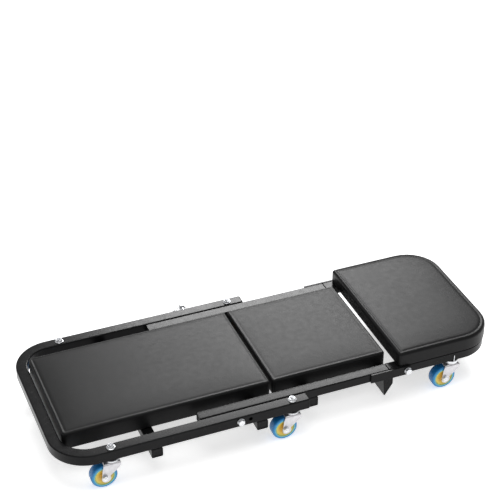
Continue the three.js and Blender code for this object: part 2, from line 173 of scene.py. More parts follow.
def board_grain():
    m = Material("board", (0.03, 0.03, 0.032), 0.8)
    fibres = m.noise(60, 6, m.stretched((1, 14, 14)), 0.7)
    m.colour(m.ramp(fibres, [(0.25, (0.018, 0.018, 0.019)), (0.75, (0.06, 0.058, 0.055))]))
    m.roughness(m.spread(fibres, 0.7, 0.9))
    m.bump(fibres, 0.4, 0.0004)
    return m.material


def zinc():
    m = Material("zinc", (0.80, 0.81, 0.83), 0.3, 1.0)
    spangle = m.cells(260)
    m.colour(m.ramp(spangle, [(0.0, (0.86, 0.87, 0.89)), (0.6, (0.70, 0.71, 0.73))]))
    m.roughness(m.spread(m.noise(420, 4), 0.2, 0.4))
    m.bump(m.noise(600, 4, m.stretched((1, 1, 0.25))), 0.12, 0.00012)
    return m.material


def pressed_zinc():
    m = Material("pressed_zinc", (0.60, 0.59, 0.61), 0.34, 0.85)
    m.colour(m.ramp(m.noise(120, 5), [(0.3, (0.54, 0.53, 0.55)), (0.7, (0.68, 0.67, 0.69))]))
    m.roughness(m.spread(m.noise(240, 4), 0.28, 0.44))
    m.bump(m.noise(700, 3), 0.12, 0.00012)
    return m.material


def chrome():
    m = Material("chrome", (0.88, 0.89, 0.90), 0.12, 1.0)
    m.roughness(m.spread(m.noise(300, 4), 0.07, 0.2))
    m.bump(m.noise(240, 3), 0.05, 0.0001)
    return m.material


def tread():
    m = Material("tread", (0.03, 0.28, 0.60), 0.3)
    m.colour(m.ramp(m.attribute("radial"), [
        (0.0, (0.42, 0.52, 0.16)), (0.16, (0.22, 0.50, 0.42)), (0.42, (0.035, 0.33, 0.60)),
        (1.0, (0.012, 0.17, 0.44)),
    ]))
    m.roughness(m.spread(m.noise(160, 4), 0.24, 0.4))
    m.bump(m.noise(420, 3), 0.1, 0.0002)
    m.set(Subsurface_Weight=0.12, Subsurface_Radius=(0.002, 0.003, 0.004))
    return m.material


def core():
    m = Material("core", (0.75, 0.48, 0.08), 0.36)
    m.colour(m.ramp(m.attribute("radial"), [
        (0.0, (0.52, 0.30, 0.05)), (0.5, (0.78, 0.50, 0.07)), (0.82, (0.80, 0.62, 0.12)),
        (1.0, (0.62, 0.64, 0.16)),
    ]))
    m.roughness(m.spread(m.noise(200, 4), 0.3, 0.46))
    m.bump(m.noise(520, 3), 0.1, 0.0002)
    return m.material


def plug_plastic():
    m = Material("plug_plastic", (0.006, 0.006, 0.0065), 0.5)
    m.set(Specular_IOR_Level=0.15)
    m.roughness(m.spread(m.noise(320, 4), 0.42, 0.6))
    m.bump(m.noise(1100, 2), 0.25, 0.0002)
    return m.material


MATERIALS = {
    "powder_coat": powder_coat(), "vinyl": vinyl(), "board": board_grain(), "zinc": zinc(),
    "pressed_zinc": pressed_zinc(), "chrome": chrome(), "tread": tread(), "core": core(),
    "plug_plastic": plug_plastic(),
}


# ---- mesh building ----------------------------------------------------------------------------
def section(half_wide, half_tall, radius, steps=6):
    """Loop of (u, v) points of a rounded rectangle."""
    loop = []
    for corner, (sx, sy) in enumerate([(1, 1), (-1, 1), (-1, -1), (1, -1)]):
        for i in range(steps + 1):
            a = (corner + i / steps) * math.pi / 2
            loop.append((
                sx * (half_wide - radius) + radius * math.cos(a),
                sy * (half_tall - radius) + radius * math.sin(a),
            ))
    return loop


def circle(count):
    """Angles of count points evenly round a circle."""
    return [TAU * i / count for i in range(count)]


def hexagon_reach(flat, t):
    """Distance from the axis to a hexagon's side in the direction t; flat is the least."""
    return flat / math.cos((t + math.pi / 6) % (math.pi / 3) - math.pi / 6)


class Builder:
    """Gathers closed bodies made of rings of points, and turns them into one mesh."""

    def __init__(self):
        self.verts = []
        self.faces = []

    def rings(self, rings, cyclic=False):
        """Skins a row of rings; cyclic joins the last to the first, else both ends are capped."""
        start, n = len(self.verts), len(rings[0])
        for ring in rings:
            self.verts += [tuple(p) for p in ring]
        count = len(rings)
        for r in range(count if cyclic else count - 1):
            a, b = start + r * n, start + ((r + 1) % count) * n
            for i in range(n):
                j = (i + 1) % n
                self.faces.append((a + i, a + j, b + j, b + i))
        if not cyclic:
            self.faces.append(tuple(start + n - 1 - i for i in range(n)))
            self.faces.append(tuple(start + (count - 1) * n + i for i in range(n)))
        return self

    def lathe(self, profile, place=Matrix.Identity(4), segments=48, cyclic=False):
        """Profile of (radius, height) in millimetres, turned about the local Z axis."""
        return self.rings([
            [place @ (Vector((r * math.cos(t), r * math.sin(t), h)) * MM) for t in circle(segments)]
            for r, h in profile
        ], cyclic)

    def hexagon(self, across, low, high, place=Matrix.Identity(4)):
        """A hexagon head or nut in millimetres with its corners chamfered at both ends."""
        flat, rings = across / 2, []
        face = flat * 0.955  # radius of the round faces that the chamfers leave
        ends = ((low, 1, True), (low, 1, False), (high, -1, False), (high, -1, True))
        for height, sign, inner in ends:
            ring = []
            for t in circle(60):
                reach = hexagon_reach(flat, t)
                radius = face if inner else reach
                z = height + sign * (0 if inner else (reach - face) * 0.55)
                point = Vector((radius * math.cos(t), radius * math.sin(t), z))
                ring.append(place @ (point * MM))
            rings.append(ring)
        return self.rings(rings)

    def mesh(self, name, material, sharp=32):
        """Mesh of all the bodies; edges over sharp degrees stay hard."""
        me = bpy.data.meshes.new(name)
        me.from_pydata(self.verts, [], self.faces)
        bm = bmesh.new()
        bm.from_mesh(me)
        bmesh.ops.recalc_face_normals(bm, faces=bm.faces)
        bm.to_mesh(me)
        bm.free()
        shade(me, sharp)
        me.materials.append(MATERIALS[material])
        return me


def shade(me, sharp=32):
    """Smooth shading, apart from edges over sharp degrees."""
    me.shade_smooth()
    me.set_sharp_from_angle(angle=math.radians(sharp))


def loose_object(name, me):
    ob = bpy.data.objects.new(name, me)
    SCENE.collection.objects.link(ob)
    return ob


def weighted_normals(ob):
    modifier = ob.modifiers.new("faces", "WEIGHTED_NORMAL")
    modifier.keep_sharp = True


def place_mesh(name, me, body, replaces=(), at=(0, 0, 0), weighted=True):
    """Makes a visible piece that rides a body and may stand for CAD nodes."""
    ob = loose_object(name, me)
    ob.location = at
    if weighted:
        weighted_normals(ob)
    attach(ob, body)
    if replaces:
        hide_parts(*replaces)
    return ob


def radial_attribute(me, low, high):
    """Stores how far each point is from the wheel's Y axis, from 0 at low to 1 at high (in mm)."""
    data = me.attributes.new("radial", "FLOAT", "POINT").data
    for i, v in enumerate(me.vertices):
        r = math.hypot(v.co.x, v.co.z) / MM
        data[i].value = min(1.0, max(0.0, (r - low) / (high - low)))


def boolean(target, cutter_mesh, operation):
    """Applies one exact boolean to an unparented object and drops the cutter."""
    cutter = loose_object("cutter", cutter_mesh)
    modifier = target.modifiers.new("cut", "BOOLEAN")
    modifier.operation = operation
    modifier.solver = "EXACT"
    modifier.object = cutter
    bake(target)
    bpy.data.objects.remove(cutter)


def bake(ob):
    """Applies every modifier of an object to its mesh."""
    graph = bpy.context.evaluated_depsgraph_get()
    graph.update()
    me = bpy.data.meshes.new_from_object(ob.evaluated_get(graph))
    ob.modifiers.clear()
    ob.data = me


def box(node):
    """Low and high corners of a node's box, as vectors."""
    lo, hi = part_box(node)
    return Vector(lo), Vector(hi)


def centre(node):
    lo, hi = box(node)
    return (lo + hi) / 2


# ---- square tubes -----------------------------------------------------------------------------
HALF_TUBE = 12.7 * MM
WALL = 2 * MM
CORNER = 2.8 * MM
INNER_CORNER = 1.0 * MM
EASE = 0.35 * MM  # chamfer at a tube's mouth
MOUTH = 14 * MM  # how far into the tube its open mouth is drawn
BASE_BEND = 84 * MM  # outer bend radii
HEAD_BEND = 78 * MM
BEND_STEPS = 20
SHARP_TUBE = 40
PLUGS = {"base": Builder(), "middle": Builder()}


def tube_rings(stations, half_wide, half_tall):
    """Rings of a hollow tube: stations are (point, sideways direction), with open ends."""
    outer = section(half_wide, half_tall, CORNER)
    eased = section(half_wide - EASE, half_tall - EASE, CORNER)
    inner = section(half_wide - WALL, half_tall - WALL, INNER_CORNER)

    def ring(point, side, loop):
        return [point + side * u + UP * v for u, v in loop]

    (p0, s0), (p1, s1) = stations[0], stations[-1]
    in0 = (stations[1][0] - p0).normalized()
    in1 = (stations[-2][0] - p1).normalized()
    rings = [
        ring(p0 + in0 * MOUTH, s0, inner), ring(p0, s0, inner), ring(p0, s0, eased),
        ring(p0 + in0 * EASE, s0, outer),
    ]
    rings += [ring(p, s, outer) for p, s in stations[1:-1]]
    rings += [
        ring(p1 + in1 * EASE, s1, outer), ring(p1, s1, eased), ring(p1, s1, inner),
        ring(p1 + in1 * MOUTH, s1, inner),
    ]
    return rings


def plug(body, point, out, side, half_wide, half_tall, proud):
    """A plastic end plug: proud ones cap the tube's wall, flush ones sit just inside it.

    Levels are (distance out of the tube's end, inset from its outside), in mm.
    """
    if proud:
        levels = [(0.15, 0.3), (1.1, 0.3), (1.7, 0.9), (1.9, 1.9), (1.5, 4.4), (1.5, 6.0)]
    else:
        levels = [(-6.0, 2.3), (-0.7, 2.3), (-0.25, 2.9), (-0.25, 4.2), (-0.8, 5.0), (-0.8, 6.0)]
    rings = []
    for depth, inset in levels:
        radius = max(0.4, 2.6 - 0.3 * inset)
        loop = section(half_wide - inset * MM, half_tall - inset * MM, radius * MM, 4)
        rings.append([point + out * depth * MM + side * u + UP * v for u, v in loop])
    PLUGS[body].rings(rings)


def tube(node, stations, body, half_wide, half_tall, holes=()):
    """Square tube through the stations, with the cutters in holes taken out of it."""
    b = Builder().rings(tube_rings(stations, half_wide, half_tall))
    ob = loose_object(node + "_fine", b.mesh(node + "_fine", "powder_coat", SHARP_TUBE))
    for hole in holes:
        boolean(ob, hole, "DIFFERENCE")
        shade(ob.data, SHARP_TUBE)
    weighted_normals(ob)
    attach(ob, body)
    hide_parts(node)


def straight_tube(node, body, axis, ends, holes=()):
    """A straight tube along axis 0 or 1; ends holds None, 'flush' or 'proud' for low and high."""
    lo, hi = box(node)
    along = Vector((1, 0, 0)) if axis == 0 else Vector((0, 1, 0))
    side = Vector((0, 1, 0)) if axis == 0 else Vector((1, 0, 0))
    mid = (lo + hi) / 2
    half = (hi - lo) / 2
    wide = half.y if axis == 0 else half.x
    reach = half[axis]
    stations = [(mid + along * t * reach, side) for t in (-1, -0.6, -0.2, 0.2, 0.6, 1)]
    for sign, end in zip((-1, 1), ends):
        if end:
            plug(body, mid + along * sign * reach, along * sign, side, wide, half.z, end == "proud")
    tube(node, stations, body, wide, half.z, holes)


def bent_tube(node, body, bend, open_towards, holes=(), plugs=None):
    """A tube bent into a U in plan, with its open ends towards +X (1) or -X (-1)."""
    lo, hi = box(node)
    half_tall = (hi.z - lo.z) / 2
    z = (lo.z + hi.z) / 2
    y_mid = (lo.y + hi.y) / 2
    reach_y = (hi.y - lo.y) / 2 - HALF_TUBE
    radius = bend - HALF_TUBE
    open_x = hi.x if open_towards > 0 else lo.x
    round_x = (lo.x if open_towards > 0 else hi.x) + open_towards * HALF_TUBE
    centre_x = round_x + open_towards * radius
    stations = []
    straight = [0, 0.25, 0.5, 0.75]
    for t in straight:
        x = open_x + (centre_x - open_x) * t
        stations.append((Vector((x, y_mid - reach_y, z)), Vector((0, -1, 0))))
    for turn in (-1, 1):
        for i in range(BEND_STEPS + 1):
            a = (i if turn < 0 else BEND_STEPS - i) / BEND_STEPS * math.pi / 2
            n = Vector((-open_towards * math.sin(a), turn * math.cos(a), 0))
            c = Vector((centre_x, y_mid + turn * (reach_y - radius), z))
            stations.append((c + n * radius, n))
    for t in reversed(straight):
        x = open_x + (centre_x - open_x) * t
        stations.append((Vector((x, y_mid + reach_y, z)), Vector((0, 1, 0))))
    if plugs:
        for sign in (-1, 1):
            point = Vector((open_x, y_mid + sign * reach_y, z))
            plug(body, point, Vector((open_towards, 0, 0)), Vector((0, 1, 0)),
                 HALF_TUBE, half_tall, plugs == "proud")
    tube(node, stations, body, HALF_TUBE, half_tall, holes)


def hole_cutter(y, radius):
    """Cylinder along Y, radius in mm, for the lock pin's hole through the rail at y."""
    place = Matrix.Translation((pin_at.x, y, pivot_at.z)) @ Matrix.Rotation(math.pi / 2, 4, "X")
    return Builder().lathe([(radius, -30), (radius, 30)], place, 32).mesh("hole", "powder_coat")


pin_at = centre("lock_pin")
pivot_at = centre("pivot_bolt_near")
base_lo, base_hi = box("base_frame_tube")
bent_tube(
    "base_frame_tube", "base", BASE_BEND, 1, plugs="proud",
    holes=[hole_cutter(y, 4.4) for y in (base_lo.y + HALF_TUBE, base_hi.y - HALF_TUBE)],
)
bent_tube("head_frame_tube", "head", HEAD_BEND, -1)
for side in SIDES:
    node = f"middle_rail_{side}"
    straight_tube(node, "middle", 0, ("flush", None), [hole_cutter(centre(node).y, 4.6)])
for node in ("base_cross_tube_foot", "base_cross_tube_pivot", "middle_cross_tube"):
    straight_tube(node, node.split("_")[0], 1, ("flush", "flush"))
straight_tube("head_cross_tube", "head", 1, (None, None))
straight_tube("middle_spine_bar", "middle", 0, (None, None))


# ---- hinge plates, stop tube and boards: the CAD solids with eased edges -------------------------
def ease_cad(node, material, width):
    """Dresses a CAD node in a material and rounds its edges by width, in mm."""
    ob = NODES[node]
    ob.data.materials.clear()
    ob.data.materials.append(MATERIALS[material])
    weld = ob.modifiers.new("weld", "WELD")
    weld.merge_threshold = 1e-5
    flat = ob.modifiers.new("flat", "DECIMATE")
    flat.decimate_type = "DISSOLVE"
    flat.angle_limit = math.radians(1)
    bevel = ob.modifiers.new("bevel", "BEVEL")
    bevel.limit_method = "ANGLE"
    bevel.angle_limit = math.radians(40)
    bevel.width = width * MM
    bevel.segments = 3
    bevel.harden_normals = True


for node in ("hinge_plate_near", "hinge_plate_far", "middle_stop_tube"):
    ease_cad(node, "powder_coat", 0.5)
for node in ("base_pad_board", "middle_pad_board", "head_pad_board"):
    ease_cad(node, "board", 1.2)


# ---- weld beads and end plates ------------------------------------------------------------------
def bead(builder, start, end, radius):
    """A rippled run of weld from start to end, radius in mm."""
    start, end = Vector(start), Vector(end)
    along = (end - start).normalized()
    side = along.cross(UP if abs(along.z) < 0.9 else Vector((1, 0, 0))).normalized()
    other = along.cross(side)
    length = (end - start).length
    steps = max(8, int(length / (0.7 * MM)))
    rings = []
    for i in range(steps + 1):
        t = i / steps
        taper = min(1.0, 0.35 + 6 * min(t, 1 - t))
        uneven = noise.noise(Vector((i, start.x * 90, start.y * 90)))
        r = radius * MM * taper * (1 + 0.13 * math.sin(i * 1.75) + 0.05 * uneven)
        rings.append([
            start + along * length * t + side * r * math.cos(p) + other * r * math.sin(p)
            for p in circle(10)
        ])
    builder.rings(rings)


def cross_beads(builder, node, rail, span, faces=(0, 1)):
    """Beads between a cross tube and the underside of the two rails over it.

    The span is each bead's ends in Y, in mm from the middle; faces 0 and 1 are low and high X.
    """
    lo, hi = box(node)
    z = box(rail)[0].z - 0.2 * MM
    for sign in (-1, 1):
        y0, y1 = (MID_Y + sign * d * MM for d in span)
        for face in faces:
            x = (lo.x - 0.4 * MM, hi.x + 0.4 * MM)[face]
            bead(builder, (x, y0, z), (x, y1, z), 1.9)


BASE_RAIL_SPAN = (180.5, 201.5)
MIDDLE_RAIL_SPAN = (154, 175.5)
beads = {"base": Builder(), "middle": Builder(), "head": Builder()}
for node in ("base_cross_tube_foot", "base_cross_tube_pivot"):
    cross_beads(beads["base"], node, "base_frame_tube", BASE_RAIL_SPAN)
cross_beads(beads["middle"], "middle_cross_tube", "middle_rail_near", MIDDLE_RAIL_SPAN)
cross_beads(beads["middle"], "middle_stop_tube", "middle_rail_near", MIDDLE_RAIL_SPAN, faces=(0,))
head_lo, head_hi = box("head_cross_tube")
for y, sign in ((head_lo.y, 1), (head_hi.y, -1)):
    for x in (head_lo.x - 0.3 * MM, head_hi.x + 0.3 * MM):
        bead(beads["head"], (x, y + sign * 0.2 * MM, head_lo.z + 2 * MM),
             (x, y + sign * 0.2 * MM, head_hi.z - 2 * MM), 1.8)
for body, b in beads.items():
    name = f"{body}_weld_beads"
    place_mesh(name, b.mesh(name, "powder_coat", 80), body)

# Plates that close the stop tube's ends, just inside its folded sheet.
stop_lo, stop_hi = box("middle_stop_tube")
end_plates = Builder()
plate_outline = [(21.0, 68.3), (2.8, 68.3), (5.2, 32.3), (7.0, 32.3), (21.0, 53.8)]  # x, z in mm
for sign, y in ((-1, stop_lo.y), (1, stop_hi.y)):
    end_plates.rings([
        [Vector((stop_lo.x + x * MM, y - sign * d * MM, z * MM)) for x, z in plate_outline]
        for d in (0.4, 2.4)
    ])
place_mesh("stop_tube_end_plates", end_plates.mesh("stop_tube_end_plates", "powder_coat"),
           "middle")
for body, b in PLUGS.items():
    name = f"{body}_tube_plugs"
    place_mesh(name, b.mesh(name, "plug_plastic", 50), body)


# ---- bolts, the lock pin and its ring ------------------------------------------------------------
BOLT_HEX = 12.9  # across flats, in mm
BOLT_HEAD = 7.4  # how far the washer and head stand out of the tube, in mm


def threads(radius, low, high, pitch=1.5):
    """Profile of a threaded shank end, from low to high, with a chamfered tip."""
    profile = [(radius - 0.5, low)]
    h = low
    while h + pitch < high - 0.8:
        profile += [
            (radius, h + pitch * 0.3), (radius, h + pitch * 0.5), (radius - 0.55, h + pitch * 0.9),
        ]
        h += pitch
    return profile + [(radius - 0.5, high - 0.8), (radius - 1.3, high)]


def washer(outer, inner, low, high):
    """Closed profile of a washer with its rim chamfered."""
    e = 0.3
    return [
        (inner, low), (outer - e, low), (outer, low + e), (outer, high - e), (outer - e, high),
        (inner, high),
    ]


def along_y(point, sign):
    """Placement whose local +Z points along sign * Y from the point."""
    return Matrix.Translation(point) @ Matrix.Rotation(-sign * math.pi / 2, 4, "X")


def cross_bolt(node, body, sign, grip):
    """Bolt through two tubes: washer and head outside, nut and threads inside; grip in mm."""
    lo, hi = box(node)
    mid = (lo + hi) / 2
    outer = hi.y if sign > 0 else lo.y
    face = outer - sign * BOLT_HEAD * MM
    place = along_y(Vector((mid.x, face, mid.z)), sign)
    b = Builder()
    b.lathe(washer(8, 4.6, 0, 1.7), place, cyclic=True)
    b.hexagon(BOLT_HEX, 1.8, 7.2, place)
    b.lathe([(4.9, -grip), (4.9, 1.8)], place, 32)
    b.hexagon(BOLT_HEX, -grip - 5, -grip, place)
    b.lathe([(6.8, -grip - 0.9), (8.0, -grip - 0.6), (8.0, -grip)], place)
    turned = place @ Matrix.Rotation(math.pi, 4, "X")
    b.lathe(threads(4.8, grip + 4.5, grip + 8.2), turned, 32)
    place_mesh(node + "_fine", b.mesh(node + "_fine", "zinc"), body, [node])


for side, sign in SIDES.items():
    inner_face = abs(box(f"middle_rail_{side}")[0 if sign > 0 else 1].y - MID_Y)
    for node, body in ((f"pivot_bolt_{side}", "base"), (f"hinge_bolt_{side}", "middle")):
        lo, hi = box(node)
        outer = abs((hi.y if sign > 0 else lo.y) - MID_Y)
        cross_bolt(node, body, sign, (outer - inner_face) / MM - BOLT_HEAD + 0.3)

# The lock pin: a chamfered tip, a grooved collar and a tail with the ring's eye across it.
pin_lo, pin_hi = box("lock_pin")
ring_lo, ring_hi = box("pull_ring")
ring_mid = (ring_lo + ring_hi) / 2
L = (pin_hi.y - pin_lo.y) / MM
profile = [(2.6, 0), (3.6, 1.0), (4, 2.2), (4, L - 11.6), (6.4, L - 11.6), (7, L - 11.1)]
for i in range(4):
    h = L - 11.1 + i * 0.5
    profile += [(7, h + 0.15), (6.75, h + 0.25), (7, h + 0.4)]
profile += [(7, L - 9.1), (6.4, L - 8.6), (4.5, L - 8.6), (4.5, L - 1.0), (3.7, L - 0.2), (2.2, L)]
pin_builder = Builder().lathe(profile, along_y(Vector((pin_at.x, pin_lo.y, pin_at.z)), 1))
pin_object = loose_object("lock_pin_fine", pin_builder.mesh("lock_pin_fine", "zinc"))
eye_at = Matrix.Translation((pin_at.x, ring_mid.y, pin_at.z)) @ Matrix.Rotation(math.pi / 2, 4, "Y")
eye = Builder().lathe([(2.0, -10), (2.0, 10)], eye_at, 24)
boolean(pin_object, eye.mesh("eye", "zinc"), "DIFFERENCE")
shade(pin_object.data, 32)
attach(pin_object, "lock_pin")
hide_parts("lock_pin")

# The pull ring is a split ring: wire wound 1.6 turns, wider than thick and tapered at its ends.
wire = Builder()
major = (ring_hi.z - ring_lo.z) / 2 / MM - 1.2
loops = []
turns, steps = 1.6, 110
for i in range(steps + 1):
    t = TAU * turns * i / steps - 1.1
    lift = (i / steps - 0.5) * 1.15
    middle = Vector((major * math.cos(t), lift, major * math.sin(t)))
    outward = Vector((math.cos(t), 0, math.sin(t)))
    size = 0.58 * min(1.0, 0.4 + 8 * min(i, steps - i) / steps)
    loop = []
    for p in circle(12):
        across = outward * size * 1.7 * math.cos(p) + Vector((0, size * math.sin(p), 0))
        loop.append(ring_mid + (middle + across) * MM)
    loops.append(loop)
wire.rings(loops)
place_mesh("pull_ring_fine", wire.mesh("pull_ring_fine", "chrome", 80), "pull_ring",
           ["pull_ring"], weighted=False)


# ---- casters ------------------------------------------------------------------------------------
# All in mm; heights are from the floor.
WHEEL_R = 28.5
TREAD_IN = 20  # radius where the tread meets the core
TREAD_HALF = 11
TRAIL = 20  # from the swivel axis back to the wheel's axle
FORK_IN = 12.5  # inner face of the fork's legs
FORK_THICK = 2.3
FORK_TOP = 61.9
LEG_END = 14.0  # where the channel ends, below the legs' outline
STEM_ON_HEAD = 86.6
STEM_ABOVE_RAIL = 7.8
SHARP_FORK = 40


def arc(cx, cy, radius, start, end, steps):
    """Points of an arc from start to end, in degrees."""
    return [
        (cx + radius * math.cos(math.radians(start + (end - start) * i / steps)),
         cy + radius * math.sin(math.radians(start + (end - start) * i / steps)))
        for i in range(steps + 1)
    ]


def fork_mesh():
    """Pressed fork: a U channel cut to the outline of its legs, with the ball race on top."""
    inner, thick, top = FORK_IN, FORK_THICK, FORK_TOP
    bend, fold = 4.0, 1.7  # outer and inner radii of the channel's corners
    outer = inner + thick
    channel = [(-outer, LEG_END)]
    channel += arc(-outer + bend, top - bend, bend, 180, 90, 6)
    channel += arc(outer - bend, top - bend, bend, 90, 0, 6)
    channel += [(outer, LEG_END), (inner, LEG_END)]
    channel += arc(inner - fold, top - thick - fold, fold, 0, 90, 4)
    channel += arc(-inner + fold, top - thick - fold, fold, 90, 180, 4)
    channel += [(-inner, LEG_END)]
    body = Builder().rings([
        [Vector((x, y, z)) * MM for y, z in channel] for x in (-34, 16)
    ])
    ob = loose_object("fork", body.mesh("fork", "pressed_zinc"))
    legs = [(-19, 63), (12, 63)] + arc(12, 58, 4, 50, 0, 4) + [(15.4, 54), (12.5, 49)]
    legs += arc(-TRAIL + 3, WHEEL_R - 3, 10, 32, -205, 26)
    legs += [(-25.2, 40), (-24.2, 50), (-22, 57.5)]
    cutter = Builder().rings([[Vector((x, y, z)) * MM for x, z in legs] for y in (-20, 20)])
    boolean(ob, cutter.mesh("legs", "pressed_zinc"), "INTERSECT")
    hole = Builder().lathe([(4.4, 50), (4.4, 70)], segments=32)
    boolean(ob, hole.mesh("kingpin_hole", "pressed_zinc"), "DIFFERENCE")
    turn = Matrix.Translation((-TRAIL * MM, 0, WHEEL_R * MM)) @ Matrix.Rotation(math.pi / 2, 4, "X")
    bore = Builder().lathe([(4.2, -30), (4.2, 30)], turn, 32)
    boolean(ob, bore.mesh("axle_hole", "pressed_zinc"), "DIFFERENCE")
    bevel = ob.modifiers.new("bevel", "BEVEL")
    bevel.limit_method = "ANGLE"
    bevel.angle_limit = math.radians(50)
    bevel.width = 0.35 * MM
    bevel.segments = 2
    bake(ob)
    shade(ob.data, SHARP_FORK)
    race = Builder().lathe([
        (4.8, top), (13.6, top), (15.0, 62.1), (15.5, 62.6), (15.5, 63.1), (15.1, 63.5),
        (12.4, 63.6), (4.8, 63.6),
    ], cyclic=True)
    bm = bmesh.new()
    bm.from_mesh(ob.data)
    bm.from_mesh(race.mesh("race", "pressed_zinc"))
    out = bpy.data.meshes.new("caster_fork")
    bm.to_mesh(out)
    bm.free()
    shade(out, SHARP_FORK)
    out.materials.append(MATERIALS["pressed_zinc"])
    bpy.data.objects.remove(ob)
    return out


def stem_mesh(name, seat, top, pin_side=0):
    """Kingpin rivet, upper race and threaded stem with a hollow end, up to the height top.

    The race ends under the seat. pin_side, -1 or 1, adds the upright pin on that side.
    """
    b = Builder()
    profile = [
        (4.4, 56.9), (6.2, 57.2), (6.6, 57.9), (6.6, 58.7), (6.2, 59.1), (4.0, 59.1), (4.0, 64.0),
        (14.6, 64.0), (15.5, 64.4), (15.5, seat - 0.9), (14.8, seat - 0.3), (5, seat - 0.3),
        (4.9, seat + 2), (4.9, top - 10),
    ]
    profile += threads(4.95, top - 9.6, top)
    profile += [(3.5, top), (3.2, top - 0.4), (3.0, top - 3.2), (1.2, top - 4)]
    b.lathe(profile)
    if pin_side:
        place = Matrix.Translation((0, pin_side * 14.4 * MM, 0))
        b.lathe([(0.9, 66), (0.9, 86.3), (0.5, 87)], place, 16)
    return b.mesh(name, "zinc")


def wheel_lathe(profile, name, material):
    """Closed profile turned about the wheel's own Y axis."""
    turn = Matrix.Rotation(math.pi / 2, 4, "X")
    return Builder().lathe(profile, turn, 72, cyclic=True).mesh(name, material)


def tread_mesh():
    """Rolling surface, slightly crowned, with round shoulders."""
    w, shoulder = TREAD_HALF, 4.0
    profile = [(TREAD_IN, -w + 0.6), (TREAD_IN + 0.5, -w)]
    profile += arc(WHEEL_R - shoulder, -w + shoulder, shoulder, -90, -22, 5)
    profile += [(WHEEL_R - 0.06, -4.5), (WHEEL_R, 0), (WHEEL_R - 0.06, 4.5)]
    profile += arc(WHEEL_R - shoulder, w - shoulder, shoulder, 22, 90, 5)
    profile += [(TREAD_IN + 0.5, w), (TREAD_IN, w - 0.6)]
    me = wheel_lathe(profile, "caster_tread", "tread")
    radial_attribute(me, TREAD_IN, WHEEL_R - 1)
    return me


def core_mesh():
    """Wheel core: a hub as wide as the fork allows, a thinner web and a rim."""
    rim, w, hub = TREAD_IN - 0.3, TREAD_HALF - 0.6, FORK_IN - 0.5
    side = [
        (4.6, hub), (7.4, hub), (7.9, hub - 0.5), (8.2, w - 2.4), (9.2, w - 3.2),
        (rim - 4.6, w - 2.2), (rim - 2.0, w - 0.7), (rim - 0.7, w - 0.05), (rim, w - 0.5),
    ]
    profile = [(r, -h) for r, h in side] + [(r, h) for r, h in reversed(side)]
    me = wheel_lathe(profile, "caster_core", "core")
    radial_attribute(me, 6, rim)
    return me


def axle_mesh():
    """Axle bolt: nut on one side, round head on the other, a washer at each face of the fork."""
    face = FORK_IN + FORK_THICK + 0.25
    bolt = 3.9
    b = Builder()
    turn = Matrix.Rotation(math.pi / 2, 4, "X")
    back = turn @ Matrix.Rotation(math.pi, 4, "X")
    b.lathe([(bolt, -face - 1), (bolt, face + 1)], turn, 32)
    b.lathe(washer(7.2, bolt, face, face + 1.0), turn, cyclic=True)
    b.hexagon(11.4, face + 1.0, face + 4.6, turn)
    b.lathe(threads(3.6, face + 4.2, face + 5.3, 0.5), turn, 24)
    b.lathe(washer(7.2, bolt, face, face + 1.0), back, cyclic=True)
    b.lathe([
        (6.0, face + 1.0), (6.0, face + 2.4), (5.3, face + 3.7), (3.8, face + 4.5),
        (1.4, face + 4.9),
    ], back)
    for place in (turn, back):
        b.lathe(washer(6.4, bolt, FORK_IN - 0.45, FORK_IN - 0.05), place, cyclic=True)
    return b.mesh("caster_axle", "zinc")


def nut_mesh(z):
    """Flanged hexagon nut around the stem, on top of the rail at height z."""
    b = Builder()
    z0 = z / MM
    bore, flat = 5.4, 6.5
    face = flat * 0.93  # radius of the round top that the chamfer leaves
    b.lathe([
        (bore, z0 + 0.3), (9.0, z0 + 0.3), (9.4, z0 + 0.7), (9.2, z0 + 1.3), (7.6, z0 + 2.0),
        (bore, z0 + 2.0),
    ], cyclic=True)
    rings = []
    for height, radius in (
        (z0 + 1.3, None), (z0 + 5.2, None), (z0 + 6.0, face), (z0 + 6.0, bore), (z0 + 1.3, bore),
    ):
        ring = []
        for t in circle(60):
            r = radius or hexagon_reach(flat, t)
            ring.append(Vector((r * math.cos(t), r * math.sin(t), height)) * MM)
        rings.append(ring)
    b.rings(rings, cyclic=True)
    return b.mesh("caster_nut", "zinc")


shared = {
    "fork": fork_mesh(), "tread": tread_mesh(), "core": core_mesh(), "axle": axle_mesh(),
    "nut": nut_mesh(base_hi.z),
}
head_frame_lo = box("head_frame_tube")[0]
for name in CASTERS:
    tread_at = centre(f"caster_{name}_tread")
    at = (tread_at.x + TRAIL * MM, tread_at.y, 0)
    wheel_at = (tread_at.x, tread_at.y, tread_at.z)
    stem_name = f"caster_{name}_stem_fine"
    if name.startswith("head"):
        parent = "head"
        sign = SIDES[name.split("_")[1]]
        stem = stem_mesh(stem_name, head_frame_lo.z / MM, STEM_ON_HEAD, sign)
    else:
        parent = "base"
        stem = stem_mesh(stem_name, base_lo.z / MM, base_hi.z / MM + STEM_ABOVE_RAIL)
    place_mesh(stem_name, stem, parent, [f"caster_{name}_stem"], at)
    for part, body, slot, where, weighted in (
        ("fork", f"fork_{name}", "zinc", at, False),
        ("axle", f"fork_{name}", "zinc", wheel_at, True),
        ("core", f"wheel_{name}", "core", wheel_at, False),
        ("tread", f"wheel_{name}", "tread", wheel_at, False),
    ):
        place_mesh(f"caster_{name}_{part}_fine", shared[part], body,
                   [f"caster_{name}_{part}"], where, weighted)
    if parent == "base":
        place_mesh(f"caster_{name}_nut_fine", shared["nut"], parent,
                   [f"caster_{name}_nut"], at)


